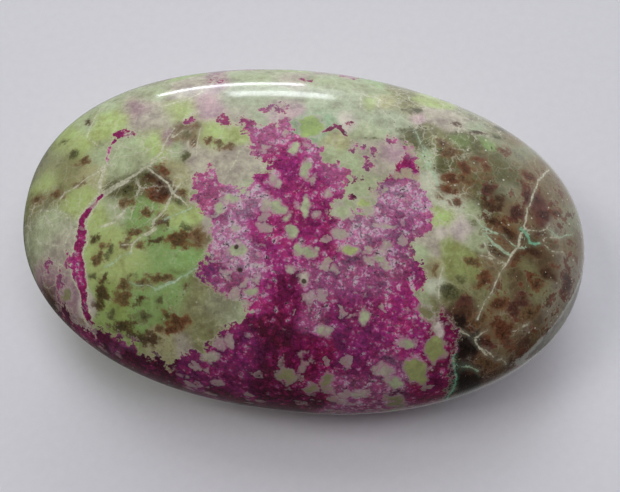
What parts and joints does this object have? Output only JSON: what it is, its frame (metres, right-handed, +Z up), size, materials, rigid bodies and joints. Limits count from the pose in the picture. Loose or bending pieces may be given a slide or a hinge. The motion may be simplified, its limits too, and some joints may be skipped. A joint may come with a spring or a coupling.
{
  "type": "atlantisite palm stone",
  "caption": "Smooth oval palm stone of polished atlantisite, domed on both faces, with a small ground flat under its belly and a narrow steep bevel at one end of its rim.",
  "frame": {"origin": "on the resting plane, under the middle of the stone", "axes": "+X along the stone's length, +Z up through its crown, +Y across its width"},
  "size_m": [0.0682, 0.0424, 0.0238],
  "materials": {
    "polished_atlantisite": "high polish on opaque stone: olive and apple-green serpentine with granular magenta stichtite, brown blotches and cream veins"
  },
  "bodies": {
    "root": {"palm_stone": "polished_atlantisite"}
  },
  "joints": []
}
